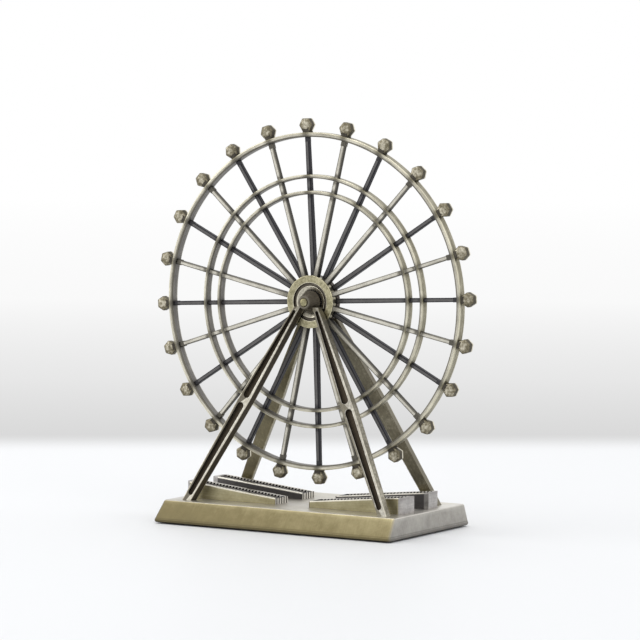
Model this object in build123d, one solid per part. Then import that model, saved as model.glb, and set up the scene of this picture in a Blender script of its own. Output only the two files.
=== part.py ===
from build123d import *

import os
from math import asin, atan, cos, degrees, radians, sin

# A desk ferris wheel cast in antique bronze: a sloped plinth with four boarding ramps carries two
# A-shaped frames, and a wheel of 24 spokes and 24 hexagonal capsules turns by hand on the axle between
# them. Millimetres; +Z up, X along the plinth, Y along the axle (-Y is the front). The origin is the
# middle of the footprint on the table.

os.makedirs("parts", exist_ok=True)

# Plinth
BASE_LENGTH = 100.0
BASE_DEPTH = 60.0
BASE_TOP = 8.3  # top face above the table
BASE_LIP = 1.3  # upright band below the sloped faces
FRONT_SLOPE = 5.2  # how far the front face leans back
BACK_SLOPE = 1.5
END_DRAFT = 0.9
BASE_CORNER = 1.2
BASE_WALL = 2.4
BASE_RIB = 1.8
POCKET_COLUMNS = 4
POCKET_ROWS = 2
PAD_THICKNESS = 1.3
PAD_PROUD = 0.5  # the pad stands this far below the casting
PAD_MARGIN = 2.6

# Boarding ramps, one in each quarter of the plinth
RAMP_INNER_END = 7.0
RAMP_OUTER_END = 46.2
RAMP_NEAR_SIDE = 5.4  # distance of the side next to the wheel from the middle plane
RAMP_FAR_SIDE = 14.0
RAMP_LOW = 2.3
RAMP_HIGH = 6.2
RAMP_CORNER = 2.4
KERB = 1.2
TREAD_DEPTH = 0.7
CLEAT_PITCH = 1.7
CLEAT_WIDTH = 0.85
CLEAT_HEIGHT = 0.5
FLUTES = 5
FLUTE_WIDTH = 0.9
FLUTE_DEPTH = 0.35
RAMP_PEG_WIDTH = 2.2
RAMP_PEG_LENGTH = 1.5
RAMP_PEG_INSET = 6.0

# A-frames: two legs, widest at the bar between their slots, that meet at a conical boss
AXLE_HEIGHT = 82.6
FOOT_X = 41.5
FOOT_Y = 21.0  # outer face of the foot
APEX_X = 2.9  # leg centreline at the axle's height
APEX_Y = 5.2  # outer face at the axle's height
LEG_DEPTH = 3.0
LEG_DRAFT = 9.0  # degrees
FOOT_WIDTH = 3.1
BAR_WIDTH = 4.7
APEX_WIDTH = 2.1
BAR_HEIGHT = 46.0
SLOT_DEPTH = 1.9
SLOT_WIDE = 1.15  # radius of the slot's end at the bar
SLOT_NARROW = 0.7
SLOT_BAR = 1.7
SLOT_FOOT_MARGIN = 3.0  # from the plinth's top to the middle of the lower slot's narrow end
SLOT_APEX_MARGIN = 4.0
BOSS_FRONT_RADIUS = 2.4
BOSS_BACK_RADIUS = 4.2
BOSS_FRONT = 7.2
BOSS_BACK = 2.2
FOOT_PEG_WIDTH = 2.2
FOOT_PEG_HEAD = 3.2  # width of the end that is hammered over
FOOT_PEG_HEAD_THICKNESS = 0.7
FOOT_BOSS_WIDTH = 6.4
FOOT_BOSS_BOTTOM = 4.0
HUB_GAP = 0.3  # air between the legs and the turning hub

# Axle, washers and hub
AXLE_RADIUS = 1.5
AXLE_END = 7.3  # where the pin's domed ends begin
AXLE_DOME = 0.5
RUNNING_CLEARANCE = 0.05
WASHER_RADIUS = 4.1
WASHER_THICKNESS = 0.3
BARREL_RADIUS = 5.9
BARREL_HALF_LENGTH = 2.4
BARREL_SEAT_RADIUS = 4.5
BARREL_SEAT = 1.8
FLANGE_RADIUS = 9.7
FLANGE_BORE = 7.0
FLANGE_FACE = 2.8
FLANGE_BACK = 0.4
FLANGE_WEB = 1.2

# Wheel
SPOKES = 24
REST_PHASE = 3.66  # degrees the stored wheel is turned on from level
SPOKE_HUB_Y = 1.5  # a spoke leaves the hub this far in front of or behind the middle plane
SPOKE_START = 8.5
SPOKE_HUB_WIDTH = 1.8
SPOKE_RIM_WIDTH = 1.5
COLLAR_START = 58.6
COLLAR_END = 60.45  # just short of the rim
COLLAR_WIDTH = 2.2
TENON_WIDTH = 1.0
TENON_END = 63.3
INNER_RING = (39.4, 40.7)
MIDDLE_RING = (45.4, 46.7)
OUTER_RIM = (60.5, 62.1)
RING_HALF_WIDTH = 1.6
RIM_HALF_WIDTH = 1.75
CAPSULE_RADIUS = 65.0  # centre of a capsule from the axle
CAPSULE_FLAT = 2.35  # half width across flats
CAPSULE_LENGTH = 3.5
CAPSULE_CHAMFER = 0.55
SADDLE_WIDTH = 3.4
SADDLE_DEPTH = 2.6

LEAN = degrees(atan((FOOT_Y - APEX_Y) / (AXLE_HEIGHT - BASE_TOP)))
LEG_RUN = (AXLE_HEIGHT - BASE_TOP) / cos(radians(LEAN))
AXLE = Location((0, 0, AXLE_HEIGHT))
ON_FLOOR = (Align.CENTER, Align.CENTER, Align.MIN)
BELOW = (Align.CENTER, Align.CENTER, Align.MAX)


def turned(*profile):
    """A solid of revolution about the axle from (radius, distance along Y) points."""
    outline = make_face(Polyline(*profile, close=True))
    return AXLE * revolve(outline, Axis.Y)


def on_wheel(index):
    """Where spoke and capsule number index stand at rest: a turn about the axle, seen from the front."""
    return AXLE * Rotation(0, -(REST_PHASE + index * 360 / SPOKES), 0)


# ---------------------------------------------------------------- plinth
def base_block():
    """The plinth's outside: an upright lip, then faces that lean in to the top."""
    lip_top = PAD_PROUD + BASE_LIP
    foot = RectangleRounded(BASE_LENGTH, BASE_DEPTH, BASE_CORNER)
    crown = RectangleRounded(
        BASE_LENGTH - 2 * END_DRAFT, BASE_DEPTH - FRONT_SLOPE - BACK_SLOPE, BASE_CORNER
    )
    lip = extrude(Pos(0, 0, PAD_PROUD) * foot, BASE_LIP)
    crown_at = Pos(0, (FRONT_SLOPE - BACK_SLOPE) / 2, BASE_TOP)
    slopes = loft([Pos(0, 0, lip_top) * foot, crown_at * crown])
    return lip + slopes


def base_pockets():
    """The hollows under the plinth, which leave its walls and a grid of ribs."""
    length = BASE_LENGTH - 2 * (BASE_WALL + END_DRAFT)
    depth = BASE_DEPTH - 2 * (BASE_WALL + FRONT_SLOPE)
    height = BASE_TOP - BASE_WALL - PAD_PROUD
    pitch_x = (length + BASE_RIB) / POCKET_COLUMNS
    pitch_y = (depth + BASE_RIB) / POCKET_ROWS
    pocket = Box(pitch_x - BASE_RIB, pitch_y - BASE_RIB, height, align=ON_FLOOR)
    grid = GridLocations(pitch_x, pitch_y, POCKET_COLUMNS, POCKET_ROWS)
    return [Pos(0, 0, PAD_PROUD) * place * pocket for place in grid]


def pad_outline():
    return RectangleRounded(BASE_LENGTH - 2 * PAD_MARGIN, BASE_DEPTH - 2 * PAD_MARGIN, BASE_CORNER)


def base_casting(pegs):
    """The hollow plinth, with a boss and a hole for each foot's peg and a rebate for the pad."""
    body = base_block()
    for pocket in base_pockets():
        body -= pocket
    boss = Box(FOOT_BOSS_WIDTH, FOOT_BOSS_WIDTH, BASE_TOP - FOOT_BOSS_BOTTOM, align=ON_FLOOR)
    head_room = Box(FOOT_BOSS_WIDTH, FOOT_BOSS_WIDTH, FOOT_BOSS_BOTTOM, align=ON_FLOOR)
    for place in foot_places():
        body += Pos(place.X, place.Y, FOOT_BOSS_BOTTOM) * boss
        body -= Pos(place.X, place.Y, 0) * head_room
    body -= extrude(Pos(0, 0, PAD_PROUD) * pad_outline(), PAD_THICKNESS - PAD_PROUD)
    for peg in pegs:
        body -= peg
    return body


def base_pad():
    return extrude(pad_outline(), PAD_THICKNESS)


# ---------------------------------------------------------------- boarding ramps
def ramp_top(distance):
    """Height of the ramp's kerbs above the plinth at a distance from the middle of the plinth."""
    share = (distance - RAMP_INNER_END) / (RAMP_OUTER_END - RAMP_INNER_END)
    return RAMP_LOW + share * (RAMP_HIGH - RAMP_LOW)


def wedge(start, end, near_side, far_side, drop):
    """A ramp-shaped block between two distances from the middle, lowered by drop at its top."""
    side = Polyline(
        (start, 0), (end, 0), (end, ramp_top(end) - drop), (start, ramp_top(start) - drop), close=True
    )
    face = Plane((0, near_side, BASE_TOP), x_dir=(1, 0, 0), z_dir=(0, -1, 0)) * make_face(side)
    return extrude(face, -(far_side - near_side))


def ramp_pegs():
    """The two square pegs cast under the rear right ramp, which locate it on the plinth."""
    middle = (RAMP_NEAR_SIDE + RAMP_FAR_SIDE) / 2
    ends = (RAMP_INNER_END + RAMP_PEG_INSET, RAMP_OUTER_END - RAMP_PEG_INSET)
    peg = Box(RAMP_PEG_WIDTH, RAMP_PEG_WIDTH, RAMP_PEG_LENGTH, align=BELOW)
    return [Pos(end, middle, BASE_TOP) * peg for end in ends]


def flute():
    """A V-shaped groove, deepest at the ramp's low end face, as tall as the ramp."""
    half = FLUTE_WIDTH / 2
    groove = make_face(Polyline((0, -half), (FLUTE_DEPTH, 0), (0, half), close=True))
    return extrude(Pos(RAMP_INNER_END, 0, BASE_TOP) * groove, RAMP_HIGH)


def ramp():
    """The rear right ramp: a wedge with a sunk, cleated walkway between kerbs and a fluted low end."""
    body = wedge(RAMP_INNER_END, RAMP_OUTER_END, RAMP_NEAR_SIDE, RAMP_FAR_SIDE, 0)
    upright = body.edges().filter_by(Axis.Z).sort_by(Axis.X)[-2:].sort_by(Axis.Y)[-1]
    body = fillet(upright, RAMP_CORNER)
    walk_start = RAMP_INNER_END + KERB
    walk_end = RAMP_OUTER_END - KERB
    near = RAMP_NEAR_SIDE + KERB
    far = RAMP_FAR_SIDE - KERB
    above = wedge(walk_start, walk_end, near, far, -1)
    below = wedge(walk_start, walk_end, near, far, TREAD_DEPTH)
    body -= above - below
    start = walk_start + CLEAT_PITCH / 2
    while start + CLEAT_WIDTH < walk_end:
        body += wedge(start, start + CLEAT_WIDTH, near, far, TREAD_DEPTH - CLEAT_HEIGHT)
        start += CLEAT_PITCH
    pitch = (RAMP_FAR_SIDE - RAMP_NEAR_SIDE) / FLUTES
    for number in range(FLUTES):
        body -= Pos(0, RAMP_NEAR_SIDE + (number + 0.5) * pitch, 0) * flute()
    return body + ramp_pegs()


def four_ways(rear_right):
    """A shape of the rear right quarter and its mirror images, by the name of their quarter."""
    return {
        "rear_right": rear_right,
        "rear_left": mirror(rear_right, Plane.YZ),
        "front_right": mirror(rear_right, Plane.XZ),
        "front_left": Rotation(0, 0, 180) * rear_right,
    }


# ---------------------------------------------------------------- A-frames
def leg_point(height):
    """A leg's centreline on the outer face: (distance from the middle plane, distance up the slope)."""
    share = (height - BASE_TOP) / (AXLE_HEIGHT - BASE_TOP)
    return Vector(FOOT_X + share * (APEX_X - FOOT_X), share * LEG_RUN)


def leg_outline():
    """The leg's outer face, widest at the bar between the two slots; it starts below the plinth's top."""
    axis = (leg_point(AXLE_HEIGHT) - leg_point(BASE_TOP)).normalized()
    across = Vector(axis.Y, -axis.X)
    stations = [
        (leg_point(BASE_TOP - LEG_DEPTH), FOOT_WIDTH / 2),
        (leg_point(BAR_HEIGHT), BAR_WIDTH / 2),
        (leg_point(AXLE_HEIGHT), APEX_WIDTH / 2),
    ]
    right = [centre + across * half for centre, half in stations]
    left = [centre - across * half for centre, half in reversed(stations)]
    return make_face(Polyline(*right, *left, close=True))


def slot_outline(wide_height, narrow_height):
    """A slot with round ends that narrows away from the bar."""
    wide = Pos(leg_point(wide_height)) * Circle(SLOT_WIDE)
    narrow = Pos(leg_point(narrow_height)) * Circle(SLOT_NARROW)
    return make_hull(wide.edges() + narrow.edges())


def leg_face_plane():
    """The plane of the front frame's outer face: X across, Y up the slope, Z out of the face."""
    origin = Vector(0, -FOOT_Y, BASE_TOP)
    lean = radians(LEAN)
    return Plane(origin, x_dir=(1, 0, 0), z_dir=(0, -cos(lean), sin(lean)))


def foot_places():
    """The middles of the four feet where they stand on the plinth, the front two first."""
    inward = LEG_DEPTH / cos(radians(LEAN)) / 2
    return [Vector(x * FOOT_X, y * (FOOT_Y - inward)) for y in (-1, 1) for x in (-1, 1)]


def foot_peg(place):
    """The square peg cast under a foot, and its end that is hammered over inside the plinth."""
    shank = Box(FOOT_PEG_WIDTH, FOOT_PEG_WIDTH, BASE_TOP - FOOT_BOSS_BOTTOM, align=ON_FLOOR)
    head = Box(FOOT_PEG_HEAD, FOOT_PEG_HEAD, FOOT_PEG_HEAD_THICKNESS, align=BELOW)
    return Pos(place.X, place.Y, FOOT_BOSS_BOTTOM) * (shank + head)


def slotted_leg():
    """The front right leg: it widens inwards from its outer face, which has two tapered slots."""
    plane = leg_face_plane()
    leg = extrude(plane * leg_outline(), -LEG_DEPTH, taper=-LEG_DRAFT)
    gap = (SLOT_BAR / 2 + SLOT_WIDE) * cos(radians(LEAN))
    lower = slot_outline(BAR_HEIGHT - gap, BASE_TOP + SLOT_FOOT_MARGIN)
    upper = slot_outline(BAR_HEIGHT + gap, AXLE_HEIGHT - SLOT_APEX_MARGIN)
    for slot in (lower, upper):
        leg -= extrude(plane * slot, -SLOT_DEPTH)
    plinth = Pos(0, 0, BASE_TOP) * Box(2 * BASE_LENGTH, 2 * BASE_DEPTH, BASE_TOP, align=BELOW)
    return leg - plinth


def front_frame():
    """Both legs, cut back around the turning hub, the conical boss that holds the axle, and the pegs."""
    leg = slotted_leg()
    hub_front = -(FLANGE_FACE + HUB_GAP)
    hub_radius = FLANGE_RADIUS + HUB_GAP
    hub_space = turned((0, hub_front), (hub_radius, hub_front), (hub_radius, 0), (0, 0))
    body = leg + mirror(leg, Plane.YZ) - hub_space
    body += turned(
        (0, -BOSS_FRONT), (BOSS_FRONT_RADIUS, -BOSS_FRONT), (BOSS_BACK_RADIUS, -BOSS_BACK), (0, -BOSS_BACK)
    )
    for place in foot_places()[:2]:
        body += foot_peg(place)
    return body - turned((0, -AXLE_END), (AXLE_RADIUS, -AXLE_END), (AXLE_RADIUS, 0), (0, 0))


# ---------------------------------------------------------------- axle and hub
def axle_pin():
    """A plain pin whose ends are domed over outside the bosses."""
    tip = AXLE_END + AXLE_DOME
    dome_radius = (AXLE_RADIUS**2 + AXLE_DOME**2) / (2 * AXLE_DOME)
    half_angle = asin(AXLE_RADIUS / dome_radius) / 2
    dome_x = dome_radius * sin(half_angle)
    dome_y = tip - dome_radius * (1 - cos(half_angle))
    outline = [
        Line((0, -tip), (0, tip)),
        ThreePointArc((0, tip), (dome_x, dome_y), (AXLE_RADIUS, AXLE_END)),
        Line((AXLE_RADIUS, AXLE_END), (AXLE_RADIUS, -AXLE_END)),
        ThreePointArc((AXLE_RADIUS, -AXLE_END), (dome_x, -dome_y), (0, -tip)),
    ]
    return AXLE * revolve(make_face(outline), Axis.Y)


def rear_washer():
    """The spacer between the rear boss and the hub."""
    back = BOSS_BACK - WASHER_THICKNESS
    return turned(
        (AXLE_RADIUS, back), (WASHER_RADIUS, back), (WASHER_RADIUS, BOSS_BACK), (AXLE_RADIUS, BOSS_BACK)
    )


def hub_barrel():
    """The sleeve that runs on the axle, with a dished seat at each end."""
    bore = AXLE_RADIUS + RUNNING_CLEARANCE
    half = [(bore, BARREL_SEAT), (BARREL_SEAT_RADIUS, BARREL_SEAT), (BARREL_RADIUS, BARREL_HALF_LENGTH)]
    other = [(radius, -y) for radius, y in reversed(half)]
    return turned(*half, *other)


def blank_flange():
    """The rear flange before its sockets are cut: a flat ring on a thin web around the barrel."""
    return turned(
        (BARREL_RADIUS, FLANGE_BACK),
        (FLANGE_RADIUS, FLANGE_BACK),
        (FLANGE_RADIUS, FLANGE_FACE),
        (FLANGE_BORE, FLANGE_FACE),
        (FLANGE_BORE, FLANGE_WEB),
        (BARREL_RADIUS, FLANGE_WEB),
    )


# ---------------------------------------------------------------- wheel
def across_spoke(width, distance):
    """A square across the X axis at a distance along it."""
    return Plane.YZ.offset(distance) * Rectangle(width, width)


def spoke(index):
    """A tapered square bar with a collar inside the rim and a tenon through it, even ones at the rear."""
    side = 1 if index % 2 == 0 else -1
    bar = loft([across_spoke(SPOKE_HUB_WIDTH, SPOKE_START), across_spoke(SPOKE_RIM_WIDTH, COLLAR_START)])
    collar = extrude(across_spoke(COLLAR_WIDTH, COLLAR_START), COLLAR_END - COLLAR_START)
    tenon = extrude(across_spoke(TENON_WIDTH, COLLAR_START), TENON_END - COLLAR_START)
    slant = degrees(atan(SPOKE_HUB_Y / OUTER_RIM[1]))
    tilt = Pos(OUTER_RIM[1], 0, 0) * Rotation(0, 0, -side * slant) * Pos(-OUTER_RIM[1], 0, 0)
    return on_wheel(index) * (tilt * (bar + collar + tenon))


def ring(radii, half_width, spokes):
    """A flat hoop that the spokes pass through."""
    inner, outer = radii
    hoop = turned((inner, -half_width), (outer, -half_width), (outer, half_width), (inner, half_width))
    return hoop - spokes


def capsule(index, own_spoke):
    """A hexagonal cabin whose axis lies along the axle, on a saddle that fits the rim."""
    hexagon = RegularPolygon(CAPSULE_FLAT, 6, major_radius=False, rotation=30)
    prism = extrude(Plane.XZ * hexagon, CAPSULE_LENGTH / 2, both=True)
    prism = chamfer(prism.faces().filter_by(Axis.Y).edges(), CAPSULE_CHAMFER)
    saddle = Pos(-CAPSULE_FLAT, 0, 0) * Box(2 * CAPSULE_FLAT, SADDLE_DEPTH, SADDLE_WIDTH)
    body = Pos(CAPSULE_RADIUS, 0, 0) * (prism + saddle)
    body -= Cylinder(OUTER_RIM[1], 2 * CAPSULE_LENGTH, rotation=(90, 0, 0))
    return on_wheel(index) * body - own_spoke


# ---------------------------------------------------------------- assembly
def stand():
    """Everything that stays still: plinth, pad, ramps, frames, axle and washers."""
    ramps = four_ways(ramp())
    frame = front_frame()
    washer = rear_washer()
    pegs = [foot_peg(place) for place in foot_places()]
    for peg in ramp_pegs():
        pegs += four_ways(peg).values()
    nodes = {f"ramp_{quarter}": shape for quarter, shape in ramps.items()}
    nodes["base_casting"] = base_casting(pegs)
    nodes["base_pad"] = base_pad()
    nodes["front_frame"] = frame
    nodes["rear_frame"] = Rotation(0, 0, 180) * frame
    nodes["axle_pin"] = axle_pin()
    nodes["rear_washer"] = washer
    nodes["front_washer"] = Rotation(0, 0, 180) * washer
    return nodes


def wheel():
    """Everything that turns: hub, flanges, spokes, rings and capsules."""
    spokes = [spoke(index) for index in range(SPOKES)]
    rear_spokes = spokes[0::2]
    front_spokes = spokes[1::2]
    nodes = {
        "hub_barrel": hub_barrel(),
        "rear_flange": blank_flange() - rear_spokes,
        "front_flange": mirror(blank_flange(), Plane.XZ) - front_spokes,
        "inner_ring": ring(INNER_RING, RING_HALF_WIDTH, spokes),
        "middle_ring": ring(MIDDLE_RING, RING_HALF_WIDTH, spokes),
        "outer_rim": ring(OUTER_RIM, RIM_HALF_WIDTH, spokes),
        "rear_spokes": Compound(children=rear_spokes),
        "front_spokes": Compound(children=front_spokes),
    }
    for index, own_spoke in enumerate(spokes):
        nodes[f"capsule_{index + 1:02d}"] = capsule(index, own_spoke)
    return nodes


for name, shape in (stand() | wheel()).items():
    export_step(shape, f"parts/{name}.step")
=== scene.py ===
import bpy
import numpy as np
from mathutils import Matrix, Vector


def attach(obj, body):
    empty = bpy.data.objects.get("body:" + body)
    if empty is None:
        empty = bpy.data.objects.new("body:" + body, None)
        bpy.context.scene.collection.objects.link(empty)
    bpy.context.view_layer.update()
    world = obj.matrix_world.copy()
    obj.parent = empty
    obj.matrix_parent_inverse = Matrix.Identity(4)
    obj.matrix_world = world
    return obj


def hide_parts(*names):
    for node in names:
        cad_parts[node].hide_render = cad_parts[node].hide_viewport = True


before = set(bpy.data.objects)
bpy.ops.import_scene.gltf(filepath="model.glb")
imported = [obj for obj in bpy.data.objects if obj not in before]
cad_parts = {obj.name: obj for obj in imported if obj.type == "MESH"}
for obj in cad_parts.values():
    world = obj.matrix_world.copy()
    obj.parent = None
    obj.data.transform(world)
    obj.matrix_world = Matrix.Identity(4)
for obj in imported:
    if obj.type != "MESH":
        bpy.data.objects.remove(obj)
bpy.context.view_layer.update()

# ---------------------------------------------------------------- the view
# The camera stands to the right of the front, a little above the hub, about 1.34 m away. Its place, lens and
# turn come from the plinth's corners and the wheel's circles, whose real sizes are known.
CAMERA_PLACE = Vector((0.6763, -1.1507, 0.1710))
CAMERA_YAW = np.radians(30.34)
CAMERA_PITCH = np.radians(-4.08)
CAMERA_ROLL = np.radians(0.58)
CAMERA_FOCAL_PX = 3638.0  # focal length in pixels of the 640-pixel picture
PICTURE_PX = 640
SENSOR_MM = 36.0

ahead = Vector(
    (
        -np.sin(CAMERA_YAW) * np.cos(CAMERA_PITCH),
        np.cos(CAMERA_YAW) * np.cos(CAMERA_PITCH),
        np.sin(CAMERA_PITCH),
    )
)
level_right = Vector((np.cos(CAMERA_YAW), np.sin(CAMERA_YAW), 0))
level_up = level_right.cross(ahead)
right = level_right * np.cos(CAMERA_ROLL) + level_up * np.sin(CAMERA_ROLL)
up = level_up * np.cos(CAMERA_ROLL) - level_right * np.sin(CAMERA_ROLL)
camera = bpy.data.objects.new("camera", bpy.data.cameras.new("camera"))
camera.data.sensor_width = SENSOR_MM
camera.data.lens = CAMERA_FOCAL_PX * SENSOR_MM / PICTURE_PX
camera.matrix_world = Matrix((right, up, -ahead)).transposed().to_4x4()
camera.matrix_world.translation = CAMERA_PLACE
bpy.context.scene.collection.objects.link(camera)
bpy.context.scene.camera = camera
bpy.context.scene.view_settings.view_transform = "Standard"


# ---------------------------------------------------------------- table and light
# A white table top ends in a soft edge a quarter of a metre behind the model, and the backdrop beyond it fades
# from grey to white. Even light comes from all round and from three large soft lamps, as in a product studio.
TABLE_WHITE = (0.80, 0.80, 0.805)
TABLE_ROUGHNESS = 0.55
TABLE_BACK = 0.250  # distance behind the model's middle at which the table's edge begins
EDGE_SOFT = 0.078  # width of the blurred edge
TABLE_SKEW = 0.098  # the edge lies this much farther for each metre to the right, and so looks level
BACKDROP = ((0.33, 0.70), (0.61, 0.80), (1.26, 0.95), (3.1, 1.0))  # (distance behind the model, grey)
FLOOR_REACH = 4.0
SKY_TINT = (0.96, 0.98, 1.0)
SKY_LEVEL = 0.80
LAMP_SIZE = 0.9
LAMP_AIM = Vector((0, 0, 0.07))


def new_material(name):
    """A material with an empty node tree, that tree, and its output node."""
    material = bpy.data.materials.new(name)
    material.use_nodes = True
    tree = material.node_tree
    tree.nodes.clear()
    output = tree.nodes.new("ShaderNodeOutputMaterial")
    return material, tree, output


def maths(tree, operation, *values):
    """The output of a new Math node; each value is a number or the output that feeds it."""
    made = tree.nodes.new("ShaderNodeMath")
    made.operation = operation
    for socket, value in zip(made.inputs, values):
        if isinstance(value, float):
            socket.default_value = value
        else:
            tree.links.new(value, socket)
    return made.outputs[0]


def mixed(tree, factor, first, second):
    """The output of a new Mix Shader node: first where factor is 0, second where it is 1."""
    mix = tree.nodes.new("ShaderNodeMixShader")
    for socket, source in zip(mix.inputs, (factor, first, second)):
        tree.links.new(source, socket)
    return mix.outputs[0]


def seen(tree):
    """1 for rays from the camera, and for those that metal or glass sends on, else 0."""
    path = tree.nodes.new("ShaderNodeLightPath")
    share = path.outputs["Is Camera Ray"]
    for kind in ("Is Glossy Ray", "Is Transmission Ray"):
        share = maths(tree, "MAXIMUM", share, path.outputs[kind])
    return share


def backdrop_glow(tree, distance):
    """An emission whose grey follows BACKDROP's stops as the distance behind the model grows."""
    farthest = BACKDROP[-1][0]
    fade = tree.nodes.new("ShaderNodeValToRGB")
    stops = fade.color_ramp.elements
    stops[0].position = BACKDROP[0][0] / farthest
    for reach, _ in BACKDROP[1:-1]:
        stops.new(reach / farthest)
    for stop, (_, grey) in zip(stops, BACKDROP):
        stop.color = (grey, grey, grey, 1)
    tree.links.new(maths(tree, "DIVIDE", distance, farthest), fade.inputs[0])
    glow = tree.nodes.new("ShaderNodeEmission")
    tree.links.new(fade.outputs[0], glow.inputs["Color"])
    return glow.outputs[0]


def table_top():
    """A flat sheet: white table up to its soft edge, and behind that a backdrop of its own brightness."""
    flat_ahead = np.array([ahead.x, ahead.y]) / np.hypot(ahead.x, ahead.y)
    left = np.array([-flat_ahead[1], flat_ahead[0]])
    mesh = bpy.data.meshes.new("table")
    signs = ((-1, -1), (1, -1), (1, 1), (-1, 1))
    mesh.from_pydata([(x * FLOOR_REACH, y * FLOOR_REACH, 0.0) for x, y in signs], [], [(0, 1, 2, 3)])
    table = bpy.data.objects.new("table", mesh)
    material, tree, output = new_material("table_white")
    white = tree.nodes.new("ShaderNodeBsdfPrincipled")
    white.inputs["Base Color"].default_value = (*TABLE_WHITE, 1)
    white.inputs["Roughness"].default_value = TABLE_ROUGHNESS
    place = tree.nodes.new("ShaderNodeTexCoord")
    behind = tree.nodes.new("ShaderNodeVectorMath")
    behind.operation = "DOT_PRODUCT"
    behind.inputs[1].default_value = (*(flat_ahead + TABLE_SKEW * left), 0)
    tree.links.new(place.outputs["Object"], behind.inputs[0])
    distance = behind.outputs["Value"]
    edge = tree.nodes.new("ShaderNodeMapRange")
    edge.interpolation_type = "SMOOTHSTEP"
    edge.inputs["From Min"].default_value = TABLE_BACK
    edge.inputs["From Max"].default_value = TABLE_BACK + EDGE_SOFT
    tree.links.new(distance, edge.inputs["Value"])
    factor = maths(tree, "MULTIPLY", edge.outputs[0], seen(tree))
    tree.links.new(mixed(tree, factor, white.outputs[0], backdrop_glow(tree, distance)), output.inputs[0])
    mesh.materials.append(material)
    bpy.context.scene.collection.objects.link(table)
    return table


table_top()


def daylight():
    """The world: white where camera and metal see it, and a little less as light."""
    world = bpy.data.worlds.new("daylight")
    bpy.context.scene.world = world
    world.use_nodes = True
    tree = world.node_tree
    tree.nodes.clear()
    output = tree.nodes.new("ShaderNodeOutputWorld")
    light = tree.nodes.new("ShaderNodeBackground")
    light.inputs["Color"].default_value = (*SKY_TINT, 1)
    light.inputs["Strength"].default_value = SKY_LEVEL
    white = tree.nodes.new("ShaderNodeBackground")
    white.inputs["Color"].default_value = (1, 1, 1, 1)
    tree.links.new(mixed(tree, seen(tree), light.outputs[0], white.outputs[0]), output.inputs[0])


daylight()


def soft_lamp(name, place, watts):
    """A square area lamp at place that shines on the wheel's lower half."""
    lamp = bpy.data.objects.new(name, bpy.data.lights.new(name, "AREA"))
    lamp.data.shape = "SQUARE"
    lamp.data.size = LAMP_SIZE
    lamp.data.energy = watts
    lamp.location = place
    lamp.rotation_mode = "QUATERNION"
    lamp.rotation_quaternion = (LAMP_AIM - Vector(place)).to_track_quat("-Z", "Y")
    bpy.context.scene.collection.objects.link(lamp)


soft_lamp("lamp_above", (-0.2, 0.1, 1.3), 6.5)
soft_lamp("lamp_left", (-1.2, -0.7, 0.6), 4.0)
soft_lamp("lamp_right", (1.1, -0.5, 0.7), 2.0)

# ---------------------------------------------------------------- plinth
# The base is one hollow casting in antique bronze: blackened all over, then brushed back on what stands
# proud. Its front face leans back above a narrow upright band. From here on sizes are in millimetres.
MM = 0.001  # metres
BASE_X = 50.0  # half the length
BASE_Y = 30.0  # half the depth
BASE_TOP = 8.3
PAD_PROUD = 0.5  # height of the casting's lower edge, which the pad holds off the table
LIP_TOP = 1.8
FRONT_SLOPE = 5.2  # how far the front face leans back from the band to the top
BACK_SLOPE = 1.5
END_DRAFT = 0.9
BAND_STEP = 0.1  # the leaning faces start this far inside the band
BASE_CORNER = 1.2
BASE_EDGE = 0.4
CORNER_STEPS = 6
PAINTED_LIGHT_RIGHT = 0.0013  # painted light: polish value gained for each millimetre to the right, as the light falls from the right
# Clouds, spots and grain are counted per metre of the object; brush lines along and across the piece.
CLOUDS_SCALE = (190, 190, 190)
SPOTS_SCALE = (1000, 1000, 1000)
GRAIN_SCALE = (2600, 2600, 2600)
BRUSH_SCALE = (60, 1900, 1)
PATCH_GAIN = 1.6
PATCH_LIMIT = 0.6  # value of polish and painted light above which the patches grow no stronger
GLOSS_GAIN = 0.22  # how much the roughness drops from hollow to bright
GRAIN_BUMP = 0.35
GRAIN_DEPTH = 0.00005  # metres


def srgb(red, green, blue):
    """A colour given as 0 to 255, as the linear values that a shader takes."""
    value = np.array([red, green, blue]) / 255
    return tuple(np.where(value <= 0.04045, value / 12.92, ((value + 0.055) / 1.055) ** 2.4))


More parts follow.
